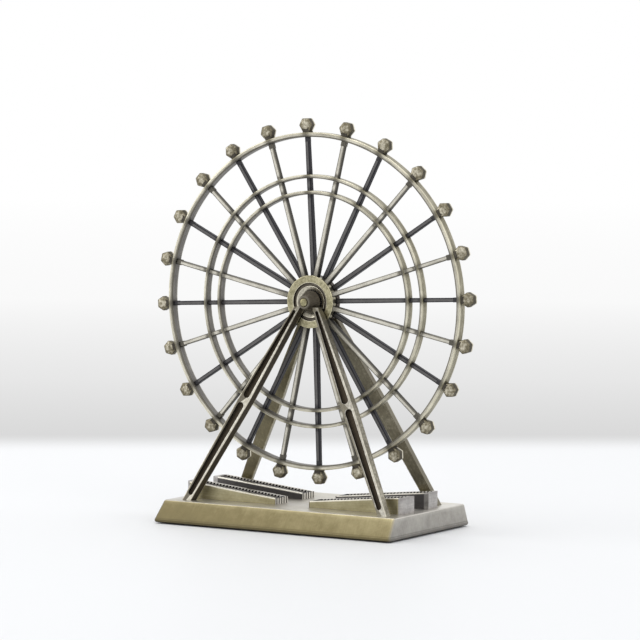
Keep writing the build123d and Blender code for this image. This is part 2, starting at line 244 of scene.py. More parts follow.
def antique(
    name,
    hollow,
    worn,
    bright,
    warm_worn,
    warm_bright,
    rough=0.42,
    metal=0.9,
    streaks=0.4,
    mottle=0.5,
    spots=0.5,
):
    """Blackened and brushed plating.

    The colour runs from hollow through worn to bright as the mesh's attribute of polish and painted light rises:
    it holds both the brushed finish and painted light and shade. Clouds and small spots on Object coordinates
    and long streaks along the piece's own UV break it up. The warmth attribute leads from the grey pair of
    colours to the golden pair. rough is the mean roughness.
    """
    material, tree, output = new_material(name)
    link = tree.links.new

    def attribute(label):
        made = tree.nodes.new("ShaderNodeAttribute")
        made.attribute_name = label
        return made.outputs["Fac"]

    def noise(source, scale, detail):
        mapping = tree.nodes.new("ShaderNodeMapping")
        mapping.inputs["Scale"].default_value = scale
        link(place.outputs[source], mapping.inputs["Vector"])
        made = tree.nodes.new("ShaderNodeTexNoise")
        made.inputs["Scale"].default_value = 1.0
        made.inputs["Detail"].default_value = detail
        made.inputs["Roughness"].default_value = 0.6
        link(mapping.outputs[0], made.inputs["Vector"])
        return made.outputs[0]

    def patches(pattern, strength):
        return maths(tree, "MULTIPLY", maths(tree, "SUBTRACT", pattern, 0.5), strength)

    place = tree.nodes.new("ShaderNodeTexCoord")
    brushed = noise("UV", BRUSH_SCALE, 4.0)
    grain = noise("Object", GRAIN_SCALE, 2.0)
    polish_and_light = attribute("polish_and_light")
    uneven = maths(
        tree,
        "ADD",
        maths(tree, "ADD", patches(noise("Object", CLOUDS_SCALE, 5.0), mottle), patches(brushed, streaks)),
        patches(noise("Object", SPOTS_SCALE, 4.0), spots),
    )
    uneven = maths(tree, "MULTIPLY", uneven, maths(tree, "MINIMUM", polish_and_light, PATCH_LIMIT))
    wear = maths(tree, "MULTIPLY_ADD", uneven, PATCH_GAIN, polish_and_light)
    colour = tree.nodes.new("ShaderNodeMix")
    colour.data_type = "RGBA"
    link(attribute("warmth"), colour.inputs["Factor"])
    for socket, middle, top in (("A", worn, bright), ("B", warm_worn, warm_bright)):
        ramp = tree.nodes.new("ShaderNodeValToRGB")
        ramp.color_ramp.elements.new(0.5)
        for stop, shade in zip(ramp.color_ramp.elements, (hollow, middle, top)):
            stop.color = (*shade, 1)
        link(wear, ramp.inputs[0])
        link(ramp.outputs[0], colour.inputs[socket])
    shader = tree.nodes.new("ShaderNodeBsdfPrincipled")
    shader.inputs["Metallic"].default_value = metal
    link(colour.outputs["Result"], shader.inputs["Base Color"])
    link(maths(tree, "MULTIPLY_ADD", wear, -GLOSS_GAIN, rough + GLOSS_GAIN / 2), shader.inputs["Roughness"])
    bump = tree.nodes.new("ShaderNodeBump")
    bump.inputs["Strength"].default_value = GRAIN_BUMP
    bump.inputs["Distance"].default_value = GRAIN_DEPTH
    link(maths(tree, "ADD", grain, brushed), bump.inputs["Height"])
    link(bump.outputs[0], shader.inputs["Normal"])
    link(shader.outputs[0], output.inputs[0])
    return material


def shell(grid, polish_and_light=0.5, warmth=0.5, loop=False):
    """A closed skin over grid[i, j], point j of the closed outline number i, in millimetres.

    Neighbouring outlines are joined by four-sided faces. With loop the last outline joins the first, else a
    flat cap closes each end. u runs along the piece and v round the outline, in metres. It returns the points,
    the faces, the UVs of their corners, and each point's polish with painted light and shade, and its warmth.
    """
    count, around = grid.shape[:2]
    i = np.arange(count if loop else count - 1)[:, None]
    j = np.arange(around)[None, :]
    after = (i + 1) % count
    beside = (j + 1) % around
    ring = [i * around + j, i * around + beside, after * around + beside, after * around + j]
    quads = np.stack(ring, -1).reshape(-1, 4)
    along = np.linalg.norm(np.roll(grid, -1, 0) - grid, axis=2).mean(1)
    across = np.linalg.norm(np.roll(grid, -1, 1) - grid, axis=2).mean(0)
    u = np.concatenate([[0], np.cumsum(along)]) * MM
    v = np.concatenate([[0], np.cumsum(across)]) * MM
    corner_uv = [np.broadcast_arrays(u[a], v[b]) for a, b in ((i, j), (i, j + 1), (i + 1, j + 1), (i + 1, j))]
    uv = np.stack([np.stack(pair, -1) for pair in corner_uv], 2).reshape(-1, 4, 2)
    points = grid.reshape(-1, 3)
    first, second, third, fourth = (points[quads[:, k]] for k in range(4))
    volume = np.sum(first * np.cross(second, third)) + np.sum(first * np.cross(third, fourth))
    faces = quads.tolist()
    corners = uv.tolist()
    if not loop:
        last = (count - 1) * around
        for cap in (list(range(around))[::-1], list(range(last, last + around))):
            faces.append(cap)
            rim = points[cap]
            flat_axes = np.sort(np.argsort(np.ptp(rim, axis=0))[-2:])
            corners.append((rim[:, flat_axes] * MM).tolist())
            volume += np.sum(rim[0] * np.cross(rim[1:-1], rim[2:]).sum(0))
    if volume < 0:
        faces = [face[::-1] for face in faces]
        corners = [corner[::-1] for corner in corners]
    shape = (count, around)
    return points, faces, corners, np.broadcast_to(polish_and_light, shape).ravel(), np.broadcast_to(warmth, shape).ravel()


def make_piece(name, shells, material, body, nodes, crease=38):
    """One object from shells that stands for CAD nodes; it is smooth but for edges sharper than crease degrees."""
    points, faces, corners, polish_and_light, warmth = [], [], [], [], []
    start = 0
    for skin_points, skin_faces, skin_corners, skin_polish, skin_warmth in shells:
        points.append(skin_points * MM)
        faces += [[start + index for index in face] for face in skin_faces]
        corners += skin_corners
        polish_and_light.append(skin_polish)
        warmth.append(skin_warmth)
        start += len(skin_points)
    mesh = bpy.data.meshes.new(name)
    mesh.from_pydata(np.concatenate(points), [], faces)
    layer = mesh.uv_layers.new(name="UVMap")
    layer.data.foreach_set("uv", np.concatenate([np.array(corner).ravel() for corner in corners]))
    for label, values in (("polish_and_light", polish_and_light), ("warmth", warmth)):
        attribute = mesh.attributes.new(label, "FLOAT", "POINT")
        attribute.data.foreach_set("value", np.concatenate(values).astype(np.float32))
    mesh.shade_smooth()
    mesh.set_sharp_from_angle(angle=np.radians(crease))
    mesh.materials.append(material)
    piece = bpy.data.objects.new(name, mesh)
    bpy.context.scene.collection.objects.link(piece)
    weighted = piece.modifiers.new("flats", "WEIGHTED_NORMAL")
    weighted.keep_sharp = True
    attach(piece, body)
    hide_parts(*nodes)
    return piece


def rounded_outline(x_low, x_high, y_low, y_high, radius):
    """Points round a rectangle, anticlockwise, each corner a quarter circle."""
    turn = np.radians(np.linspace(0, 90, CORNER_STEPS + 1))
    centres = [
        (x_high - radius, y_high - radius),
        (x_low + radius, y_high - radius),
        (x_low + radius, y_low + radius),
        (x_high - radius, y_low + radius),
    ]
    rounds = [
        np.stack([x + radius * np.cos(turn + k * np.pi / 2), y + radius * np.sin(turn + k * np.pi / 2)], 1)
        for k, (x, y) in enumerate(centres)
    ]
    return np.concatenate(rounds)


def plinth():
    """Rounded rectangles stacked in height: the band, the leaning faces and a rounded top edge."""
    band = [  # height, inset all round, polish with painted light; the lowest edge is painted dark as shade
        (PAD_PROUD, 0.35, 0.05),
        (PAD_PROUD + 0.3, 0.0, 0.28),
        (LIP_TOP - 0.25, 0.0, 0.36),
        (LIP_TOP - 0.1, 0.03, 0.52),
        (LIP_TOP, 0.15, 0.42),
    ]
    faces = [  # height, polish with painted light, lighter upwards as lit from above
        (LIP_TOP + 0.05, 0.35),
        (LIP_TOP + 0.5, 0.5),
        (BASE_TOP - 1.5, 0.55),
        (BASE_TOP - BASE_EDGE, 0.62),
    ]
    slopes = np.array([FRONT_SLOPE, BACK_SLOPE, END_DRAFT])
    sections = [(height, *[inset] * 3, brushed_and_lit) for height, inset, brushed_and_lit in band]
    for height, brushed_and_lit in faces:
        share = (height - LIP_TOP) / (BASE_TOP - LIP_TOP)
        sections.append((height, *(share * slopes + BAND_STEP), brushed_and_lit))
    # the rounded top edge, and then the flat top, brushed and painted light as lit from above
    for turn in np.radians([25, 50, 75, 90]):
        run = BASE_EDGE * (1 - np.cos(turn)) + BAND_STEP
        rise = BASE_TOP - BASE_EDGE * (1 - np.sin(turn))
        sections.append((rise, *(slopes + run), 0.78))
    for inset, brushed_and_lit in ((1.0, 0.86), (12.0, 0.8)):
        sections.append((BASE_TOP, *(slopes + inset), brushed_and_lit))
    outlines = []
    for height, front, back, end, _ in sections:
        flat = rounded_outline(-BASE_X + end, BASE_X - end, -BASE_Y + front, BASE_Y - back, BASE_CORNER)
        outlines.append(np.column_stack([flat, np.full(len(flat), height)]))
    grid = np.array(outlines)
    polish_and_light = np.array([section[-1] for section in sections])[:, None] + PAINTED_LIGHT_RIGHT * grid[:, :, 0]
    facing = np.tile(np.sin(np.radians(np.linspace(0, 90, CORNER_STEPS + 1))), 4).reshape(4, -1) ** 2
    facing[1::2] = 1 - facing[1::2]  # 1 where a side looks to the front or the rear, 0 where it looks sideways
    warmth = np.outer(np.where(grid[:, 0, 2] > BASE_TOP - 0.2, 0.2, 0.95), facing.ravel())
    return shell(grid, polish_and_light, warmth)


base_bronze = antique(
    "base_bronze",
    hollow=srgb(34, 30, 26),
    worn=srgb(138, 135, 129),
    bright=srgb(226, 222, 214),
    warm_worn=srgb(128, 117, 82),
    warm_bright=srgb(206, 194, 150),
    streaks=0.1,
    mottle=0.3,
    spots=0.08,
)
make_piece("plinth", [plinth()], base_bronze, "stand", ["base_casting"])

# ---------------------------------------------------------------- pad
# A slab of black felt glued into the plinth's underside; only its edge shows, as a dark line that also stands
# in for the shade under the plinth's edge.
PAD_THICKNESS = 1.3
PAD_MARGIN = 2.6
FIBRES_PER_METRE = 2200


def felt():
    """Black felt: a matt surface with a fine fibrous bump on Object coordinates."""
    material, tree, output = new_material("black_felt")
    shader = tree.nodes.new("ShaderNodeBsdfPrincipled")
    shader.inputs["Roughness"].default_value = 0.95
    shader.inputs["Sheen Weight"].default_value = 0.15
    place = tree.nodes.new("ShaderNodeTexCoord")
    fibres = tree.nodes.new("ShaderNodeTexNoise")
    fibres.inputs["Scale"].default_value = FIBRES_PER_METRE
    fibres.inputs["Detail"].default_value = 3
    tree.links.new(place.outputs["Object"], fibres.inputs["Vector"])
    tint = tree.nodes.new("ShaderNodeValToRGB")
    tint.color_ramp.elements[0].color = (*srgb(18, 18, 20), 1)
    tint.color_ramp.elements[1].color = (*srgb(48, 47, 50), 1)
    tree.links.new(fibres.outputs[0], tint.inputs[0])
    tree.links.new(tint.outputs[0], shader.inputs["Base Color"])
    bump = tree.nodes.new("ShaderNodeBump")
    bump.inputs["Strength"].default_value = 0.6
    bump.inputs["Distance"].default_value = 0.0001
    tree.links.new(fibres.outputs[0], bump.inputs["Height"])
    tree.links.new(bump.outputs[0], shader.inputs["Normal"])
    tree.links.new(shader.outputs[0], output.inputs[0])
    return material


def pad():
    """Rounded rectangles stacked in height, drawn in a little at the lower and the upper edge."""
    levels = ((0.0, 0.15), (0.12, 0.03), (0.25, 0.0), (PAD_THICKNESS - 0.1, 0.0), (PAD_THICKNESS, 0.1))
    outlines = []
    for height, inset in levels:
        x = BASE_X - PAD_MARGIN - inset
        y = BASE_Y - PAD_MARGIN - inset
        flat = rounded_outline(-x, x, -y, y, BASE_CORNER)
        outlines.append(np.column_stack([flat, np.full(len(flat), height)]))
    return shell(np.array(outlines), 0.0, 0.0)


make_piece("felt_pad", [pad()], felt(), "stand", ["base_pad"])

# ---------------------------------------------------------------- boarding ramps
# Each ramp rises outwards between two kerbs; cross cleats stand in the sunk walkway and its low end is
# fluted. The kerbs are brushed bright and the walkway stays black; the side next to the wheel is painted dark
# as shade and the far side painted bright gold as lit.
RAMP_INNER_END = 7.0  # distance of the low end from the plinth's middle
RAMP_OUTER_END = 46.2
RAMP_NEAR = 5.4  # distance of the side next to the wheel from the middle plane
RAMP_FAR = 14.0
RAMP_LOW = 2.3  # height above the plinth at the inner end
RAMP_HIGH = 6.2
RAMP_CORNER = 2.4
KERB = 1.2
TREAD_DEPTH = 0.9
CLEAT_PITCH = 1.4
CLEAT_WIDTH = 0.62
CLEAT_HEIGHT = 0.35
CLEAT_BELOW_KERB = 0.06
CLEAT_END = 0.6  # length of a cleat's raised end, next to a kerb
FLUTES = 5
FLUTE_DEPTH = 0.35
RIB_SHARE = 0.48  # part of the flutes' pitch that a rib's end face takes
EDGE_STEPS = 3


def softened(corners, radius):
    """Outlines with rounded corners; corners[..., k, :] is corner k of a closed outline.

    A corner becomes the quadratic curve between the points that lie radius, at most a fifth of the side,
    away from it. One more point further in on each side keeps the flats flat in shading.
    """
    before = np.roll(corners, 1, -2) - corners
    after = np.roll(corners, -1, -2) - corners
    length_before = np.linalg.norm(before, axis=-1, keepdims=True)
    length_after = np.linalg.norm(after, axis=-1, keepdims=True)
    reach = np.minimum(np.asarray(radius, float)[..., None], 0.2 * np.minimum(length_before, length_after))
    back = before / np.maximum(length_before, 1e-9) * reach
    forth = after / np.maximum(length_after, 1e-9) * reach
    points = [corners + 2.2 * back]
    for t in np.linspace(0, 1, EDGE_STEPS + 1):
        points.append(corners + (1 - t) ** 2 * back + t**2 * forth)
    points.append(corners + 2.2 * forth)
    stacked = np.stack(points, -2)
    return stacked.reshape(*corners.shape[:-2], -1, corners.shape[-1])


def edge_paint(sides, edges):
    """A value for each of softened's points: sides[k] on the side after corner k, edges[k] round corner k."""
    sides = np.asarray(sides, float)
    edges = np.broadcast_to(edges, sides.shape)
    return np.stack([np.roll(sides, 1)] + [edges] * (EDGE_STEPS + 1) + [sides], -1).ravel()


def ramp_top(distance):
    """Height of a kerb's top above the table at a distance from the plinth's middle."""
    share = (distance - RAMP_INNER_END) / (RAMP_OUTER_END - RAMP_INNER_END)
    return BASE_TOP + RAMP_LOW + share * (RAMP_HIGH - RAMP_LOW)


def ramp_body():
    """U-shaped sections along the ramp; at the ends the walkway's floor comes up level with the kerbs."""
    start = RAMP_INNER_END + FLUTE_DEPTH
    walk = (start + KERB - FLUTE_DEPTH, RAMP_OUTER_END - KERB)
    bend = RAMP_OUTER_END - RAMP_CORNER * (1 - np.sin(np.radians(np.linspace(0, 88, 12))))
    plain = np.linspace(walk[0], bend[0], 14)
    stations = [(start, 0), (start + 0.12, 0), (walk[0] - 0.01, 0)]
    stations += [(x, TREAD_DEPTH) for x in plain]
    stations += [(x, TREAD_DEPTH if x < walk[1] else 0) for x in bend[1:]]
    stations += [(walk[1], TREAD_DEPTH), (walk[1] + 0.01, 0)]
    stations.sort()
    sections = []
    for x, sunk in stations:
        over = max(0.0, x - (RAMP_OUTER_END - RAMP_CORNER))
        far = RAMP_FAR - RAMP_CORNER + np.sqrt(RAMP_CORNER**2 - over**2)
        top = ramp_top(x) - (0.1 if x == start else 0)
        inner = min(RAMP_FAR - KERB, far - 0.3)
        sections.append(
            [
                (x, RAMP_NEAR, BASE_TOP),
                (x, RAMP_NEAR, top),
                (x, RAMP_NEAR + KERB, top),
                (x, RAMP_NEAR + KERB, top - sunk),
                (x, inner, top - sunk),
                (x, inner, top),
                (x, far, top),
                (x, far, BASE_TOP),
            ]
        )
    radii = np.array([0.02, 0.24, 0.08, 0.02, 0.02, 0.08, 0.24, 0.02])
    grid = softened(np.array(sections), radii)
    # sides: near wall, near kerb, its inner wall, walkway, the far kerb's inner wall, far kerb, far wall, underside
    # the wall next to the wheel is painted dark as shade and the far wall painted light, as the light falls
    brushed_and_lit = edge_paint([0.16, 0.9, 0.0, 0.0, 0.0, 0.9, 0.58, 0.25], [0.1, 1.0, 0.3, 0.0, 0.0, 0.3, 1.0, 0.2])
    gold = edge_paint([0, 0.3, 0, 0, 0, 0.3, 1.0, 0], [0, 0.3, 0, 0, 0, 0.3, 0.5, 0])
    # the rounded outer end is silver all over
    at_outer_end = grid[:, :, 0] > RAMP_OUTER_END - RAMP_CORNER * 0.8
    return shell(grid, np.where(at_outer_end, 0.6, brushed_and_lit), np.where(at_outer_end, 0.0, gold))


def ramp_cleats():
    """Cross bars in the walkway, low in the middle and raised nearly to the kerbs' height at both ends."""
    near, far = RAMP_NEAR + KERB, RAMP_FAR - KERB
    low = TREAD_DEPTH - CLEAT_HEIGHT
    stations = [  # y, depth of the bar's top below the kerbs, polish
        (near - 0.03, CLEAT_BELOW_KERB, 1.0),
        (near + CLEAT_END, CLEAT_BELOW_KERB, 1.0),
        (near + CLEAT_END + 0.04, low, 0.5),
        (far - CLEAT_END - 0.04, low, 0.5),
        (far - CLEAT_END, CLEAT_BELOW_KERB, 1.0),
        (far + 0.03, CLEAT_BELOW_KERB, 1.0),
    ]
    brushed_and_lit = np.array([station[2] for station in stations])
    paint = edge_paint([0.02, 0.95, 0.02, 0.0], [0.0, 0.9, 0.9, 0.0])
    bars = []
    start = RAMP_INNER_END + KERB + CLEAT_PITCH / 2
    while start + CLEAT_WIDTH < RAMP_OUTER_END - KERB:
        end = start + CLEAT_WIDTH
        floor = ramp_top(start) - TREAD_DEPTH - 0.05
        sections = []
        for y, below, _ in stations:
            tops = [ramp_top(x) - below for x in (start, end)]
            sections.append([(start, y, floor), (start, y, tops[0]), (end, y, tops[1]), (end, y, floor)])
        bars.append(shell(softened(np.array(sections), 0.07), np.outer(brushed_and_lit, paint), 0.1))
        start += CLEAT_PITCH
    return bars


def ramp_flutes():
    """The ribs between the V-shaped flutes: upright bars that narrow towards the low end face."""
    pitch = (RAMP_FAR - RAMP_NEAR) / FLUTES
    ribs = []
    for number in range(FLUTES + 1):
        middle = RAMP_NEAR + number * pitch
        low = max(RAMP_NEAR, middle - pitch / 2)
        high = min(RAMP_FAR, middle + pitch / 2)
        narrow = pitch * RIB_SHARE / 2
        face_low = max(RAMP_NEAR, middle - narrow)
        face_high = min(RAMP_FAR, middle + narrow)
        front, back = RAMP_INNER_END, RAMP_INNER_END + FLUTE_DEPTH + 0.02
        profile = np.array([(back, low), (front, face_low), (front, face_high), (back, high)])
        outline = softened(profile, 0.08)
        heights = [BASE_TOP, ramp_top(front) - 0.15, ramp_top(front) - 0.02]
        grid = np.array([np.column_stack([outline, np.full(len(outline), z)]) for z in heights])
        ribs.append(shell(grid, edge_paint([0.1, 0.95, 0.1, 0.0], [0.0, 0.95, 0.95, 0.0]), 0.1))
    return ribs


def turned_copy(skins, x_sign, y_sign):
    """Copies of shells mirrored in x, in y or in both; a single mirroring turns the faces round."""
    copies = []
    for points, faces, corners, polish_and_light, warmth in skins:
        moved = points * (x_sign, y_sign, 1)
        if x_sign * y_sign < 0:
            faces = [face[::-1] for face in faces]
            corners = [corner[::-1] for corner in corners]
        copies.append((moved, faces, corners, polish_and_light, warmth))
    return copies


ramp_bronze = antique(
    "ramp_bronze",
    hollow=srgb(30, 28, 32),
    worn=srgb(144, 140, 138),
    bright=srgb(240, 237, 232),
    warm_worn=srgb(146, 138, 106),
    warm_bright=srgb(222, 214, 182),
    streaks=0.3,
    mottle=0.35,
    spots=0.2,
)
rear_right_ramp = [ramp_body(), *ramp_cleats(), *ramp_flutes()]
for quarter, x_sign, y_sign in (
    ("rear_right", 1, 1),
    ("rear_left", -1, 1),
    ("front_right", 1, -1),
    ("front_left", -1, -1),
):
    skins = turned_copy(rear_right_ramp, x_sign, y_sign)
    make_piece(f"boarding_{quarter}", skins, ramp_bronze, "stand", [f"ramp_{quarter}"])

# ---------------------------------------------------------------- A-frames
# Two legs lean together in both directions and meet at the boss. A leg is widest at the bar between its two
# tapered slots; it widens inwards from its outer face. Slots are dark brown, edges brushed bright.
AXLE_Z = 82.6
# A leg's outer face has its middle at the foot's x and y on the plinth, and at the apex's at the axle's height.
FOOT_X = 41.5
FOOT_Y = 21.0
APEX_X = 2.9
APEX_Y = 5.2
LEG_DEPTH = 3.0
LEG_DRAFT = np.radians(9.0)
HALF_WIDTHS = (1.55, 2.35, 1.05)  # at the foot, the bar and the apex
BAR_Z = 46.0
LEG_TOP = 80.8
DARK_FROM = 62.0  # height from which a leg gets darker towards the boss
DARK_LOSS = 0.35  # share by which the polish value is lowered at its top
SLOT_DEPTH = 1.4
SLOT_WIDE = 1.4  # radius of a slot's end at the bar
SLOT_NARROW = (1.0, 0.6)  # radius at the foot and at the apex
SLOT_BAR = 1.7
SLOT_FOOT_MARGIN = 3.0
SLOT_APEX_MARGIN = 3.6
HUB_CUT_Y = 3.1  # no leg comes nearer to the middle plane than this
BOSS_PROFILE = [(1.5, 7.2), (2.4, 7.2), (4.2, 2.2), (1.5, 2.2)]  # (radius, distance in front)

lean = np.arctan2(FOOT_Y - APEX_Y, AXLE_Z - BASE_TOP)
leg_run = (AXLE_Z - BASE_TOP) / np.cos(lean)
leg_spread = np.hypot(FOOT_X - APEX_X, leg_run) / leg_run


def leg_edges(height, depth):
    """x of a leg's two edges, and y, at a height and a depth inwards from the outer face."""
    up = (height - BASE_TOP + depth * np.sin(lean)) / np.cos(lean)
    share = up / leg_run
    middle = FOOT_X + share * (APEX_X - FOOT_X)
    at = BASE_TOP + share * (AXLE_Z - BASE_TOP)
    half = np.interp(at, [BASE_TOP - LEG_DEPTH, BAR_Z, AXLE_Z], HALF_WIDTHS) + depth * np.tan(LEG_DRAFT)
    y = -FOOT_Y + up * np.sin(lean) + depth * np.cos(lean)
    return middle - half * leg_spread, middle + half * leg_spread, y


def slot_edges(height, wide_z, narrow_z, narrow):
    """Where a level line on the outer face crosses a slot, the area swept by a shrinking disc."""
    t = np.linspace(0, 1, 400)
    centre_z = wide_z + t * (narrow_z - wide_z)
    centre_x = FOOT_X + (centre_z - BASE_TOP) / (AXLE_Z - BASE_TOP) * (APEX_X - FOOT_X)
    radius = SLOT_WIDE + t * (narrow - SLOT_WIDE)
    square = radius**2 - ((height - centre_z) / np.cos(lean)) ** 2
    inside = square > 0
    reach = np.sqrt(square[inside])
    return (centre_x[inside] - reach).min(), (centre_x[inside] + reach).max()


def leg(paint):
    """Level sections up the front right leg: the face, the slot sunk in it, and the three other sides."""
    gap = (SLOT_BAR / 2 + SLOT_WIDE) * np.cos(lean)
    plain = []
    for height in (BASE_TOP, BASE_TOP + 0.3, BAR_Z, LEG_TOP - 0.3, LEG_TOP):
        middle = FOOT_X + (height - BASE_TOP) / (AXLE_Z - BASE_TOP) * (APEX_X - FOOT_X)
        plain.append((height, middle, middle, 0.0))
    slots = []
    for wide_z, narrow_z, narrow in (
        (BAR_Z - gap, BASE_TOP + SLOT_FOOT_MARGIN, SLOT_NARROW[0]),
        (BAR_Z + gap, AXLE_Z - SLOT_APEX_MARGIN, SLOT_NARROW[1]),
    ):
        outward = np.sign(narrow_z - wide_z) * np.cos(lean)
        ends = sorted((wide_z - outward * (SLOT_WIDE - 0.001), narrow_z + outward * (narrow - 0.001)))
        heights = ends[0] + (ends[1] - ends[0]) * (1 - np.cos(np.linspace(0, np.pi, 70))) / 2
        rows = [(height, *slot_edges(height, wide_z, narrow_z, narrow), SLOT_DEPTH) for height in heights]
        for row, shift in ((rows[0], -0.001), (rows[-1], 0.001)):
            middle = (row[1] + row[2]) / 2
            slots.append((row[0] + shift, middle, middle, 0.0))
        slots += rows
    sections = []
    for height, slot_left, slot_right, sunk in sorted(plain + slots):
        left, right, y = leg_edges(height, 0.0)
        left_in, right_in, y_in = leg_edges(height, LEG_DEPTH)
        floor_y = y + sunk / np.cos(lean)
        back_y = min(y_in, -HUB_CUT_Y)
        sections.append(
            [
                (left, y, height),
                (slot_left, y, height),
                (slot_left, floor_y, height),
                (slot_right, floor_y, height),
                (slot_right, y, height),
                (right, y, height),
                (right_in, back_y, height),
                (left_in, back_y, height),
            ]
        )
    grid = softened(np.array(sections), np.array([0.2, 0.14, 0.05, 0.05, 0.14, 0.2, 0.2, 0.2]))
    darker = 1 - DARK_LOSS * np.clip((grid[:, :1, 2] - DARK_FROM) / (LEG_TOP - DARK_FROM), 0, 1)
    polish_and_light = darker * edge_paint(paint["sides"], paint["edges"])
    return shell(grid, polish_and_light, edge_paint(paint["warm"], paint["warm"]))


def lathe(profile, radius, sides, edges, warm, turns=120):
    """A ring about the axle: a closed profile of (radius, y) corners, softened and carried round."""
    outline = softened(np.array(profile, float), radius)
    turn = np.linspace(0, 2 * np.pi, turns, endpoint=False)[:, None]
    x = outline[:, 0] * np.cos(turn)
    z = AXLE_Z + outline[:, 0] * np.sin(turn)
    grid = np.stack([x, np.broadcast_to(outline[:, 1], x.shape), z], -1)
    return shell(grid, edge_paint(sides, edges), edge_paint(warm, warm), loop=True)


# The sides in leg's order: face left of the slot, slot wall, floor, wall, face right, right side, back, left.
# The sides carry painted light and shade: the right leg's outer side, facing up, is painted light, and the left
# leg's inner side, facing down, is painted dark as shade.
right_leg_paint = {
    "sides": [0.46, 0.05, 0.0, 0.05, 0.72, 0.56, 0.42, 0.45],
    "edges": [0.5, 0.7, 0.05, 0.0, 0.8, 0.85, 0.3, 0.7],
    "warm": [0.4, 0, 0, 0, 0.15, 0.35, 1.0, 0.9],
}
left_leg_paint = {
    "sides": [0.8, 0.05, 0.0, 0.05, 0.26, 0.38, 0.46, 0.08],
    "edges": [0.95, 0.85, 0.0, 0.05, 0.3, 0.75, 0.4, 0.85],
    "warm": [0.3, 0, 0, 0, 0.3, 0.5, 0.6, 0.1],
}
boss = lathe(
    [(radius, -y) for radius, y in BOSS_PROFILE],
    0.25,
    sides=[0.36, 0.13, 0.1, 0.0],
    edges=[0.05, 0.22, 0.1, 0.0],
    warm=[0.3, 0, 0, 0],
)
front_legs = [leg(right_leg_paint), *turned_copy([leg(left_leg_paint)], -1, 1)]
frame_bronze = antique(
    "frame_bronze",
    hollow=srgb(74, 66, 55),
    worn=srgb(132, 128, 119),
    bright=srgb(230, 226, 216),
    warm_worn=srgb(132, 125, 100),
    warm_bright=srgb(222, 214, 186),
    streaks=0.5,
    mottle=0.5,
    spots=0.7,
)
make_piece("front_a_frame", [*front_legs, boss], frame_bronze, "stand", ["front_frame"])
make_piece(
    "rear_a_frame",
    turned_copy([*front_legs, boss], -1, -1),
    frame_bronze,
    "stand",
    ["rear_frame"],
)

# ---------------------------------------------------------------- axle pin and hub
# A polished pin, domed over outside the bosses. On it runs the barrel, dished at its ends, between the two
# flanges: flat bright rings on a thin web, with a dark recess between ring and barrel.
PIN_RADIUS = 1.5
PIN_SHOULDER = 7.3
PIN_TIP = 7.8
SIDE = {"front": -1, "rear": 1}  # sign of y
# Profiles are corners of (radius, distance from the middle plane).
BARREL_PROFILE = [(1.55, 1.7), (4.1, 1.7), (5.9, 2.4), (5.9, -2.4), (4.1, -1.7), (1.55, -1.7)]
FLANGE_PROFILE = [(5.9, 0.4), (9.7, 0.4), (9.7, 2.8), (7.0, 2.8), (7.0, 1.9), (5.9, 1.9)]
# Polish of a flange's inner side, rim, face, step, web and bore; the rear one's first two, behind the spokes,
# are painted dark as shade.
FLANGE_SIDES = np.array([0.3, 0.5, 0.58, 0.35, 0.16, 0.0])
FLANGE_EDGES = np.array([0.1, 0.6, 0.8, 0.85, 0.05, 0.0])
FLANGE_WARMTH = np.array([0.3, 0.5, 0.8, 0.3, 0.2, 0.2])
FLANGE_SHADE = {"front": np.ones(6), "rear": np.array([0.2, 0.1, 1, 1, 1, 1])}


def pin():
    """Circles along the axle; the ends follow a quarter ellipse from the shoulder to the tip."""
    turn = np.radians(np.linspace(90, 2, 8))
    end_y = PIN_SHOULDER + (PIN_TIP - PIN_SHOULDER) * np.sin(turn)
    end_radius = PIN_RADIUS * np.cos(turn) + 0.02
    y = np.concatenate([-end_y, [-PIN_SHOULDER + 0.05, PIN_SHOULDER - 0.05], end_y[::-1]])
    radius = np.concatenate([end_radius, [PIN_RADIUS, PIN_RADIUS], end_radius[::-1]]).clip(max=PIN_RADIUS)
    around = np.linspace(0, 2 * np.pi, 64, endpoint=False)
    x = radius[:, None] * np.cos(around)
    z = AXLE_Z + radius[:, None] * np.sin(around)
    grid = np.stack([x, np.broadcast_to(y[:, None], x.shape), z], -1)
    polish_and_light = np.where(radius > PIN_RADIUS - 0.12, 0.2, 0.48)
    return shell(grid, polish_and_light[:, None], 0.9)


hub_gold = antique(
    "hub_gold",
    hollow=srgb(54, 45, 40),
    worn=srgb(150, 145, 136),
    bright=srgb(236, 230, 212),
    warm_worn=srgb(146, 140, 106),
    warm_bright=srgb(222, 214, 174),
    rough=0.32,
    metal=1.0,
    streaks=0.3,
    mottle=0.5,
    spots=0.9,
)
barrel = lathe(
    BARREL_PROFILE,
    0.15,
    sides=[0.16, 0.7, 0.2, 0.7, 0.16, 0.0],
    edges=[0.0, 0.4, 0.95, 0.95, 0.4, 0.0],
    warm=[0.2, 0.12, 0.2, 0.12, 0.2, 0],
)
make_piece("axle", [pin()], hub_gold, "stand", ["axle_pin"], crease=50)
make_piece("barrel", [barrel], hub_gold, "wheel", ["hub_barrel"])
for end, sign in SIDE.items():
    profile = [(radius, sign * y) for radius, y in FLANGE_PROFILE]
    sides, edges, warm = (values * FLANGE_SHADE[end] for values in (FLANGE_SIDES, FLANGE_EDGES, FLANGE_WARMTH))
    flange = lathe(profile, 0.14, sides, edges, warm)
    make_piece(f"{end}_hub_ring", [flange], hub_gold, "wheel", [f"{end}_flange"])

# ---------------------------------------------------------------- rings and rim
# Three flat hoops with rounded edges. The rim's outer side is golden and its inner side blue-grey; patina
# and painted shade darken them where spokes pass through.
SPOKES = 24
REST_PHASE = 2.96  # degrees from level to the first spoke
HOOP_TURNS = 480
SHADE_REACH = 1.5  # distance along a hoop over which the patina and painted shade beside a spoke fade
HOOPS = {  # inner radius, outer radius, half the depth
    "inner_ring": (39.4, 40.75, 1.7),
    "middle_ring": (45.35, 46.7, 1.7),
    "outer_rim": (60.45, 62.15, 1.9),
}


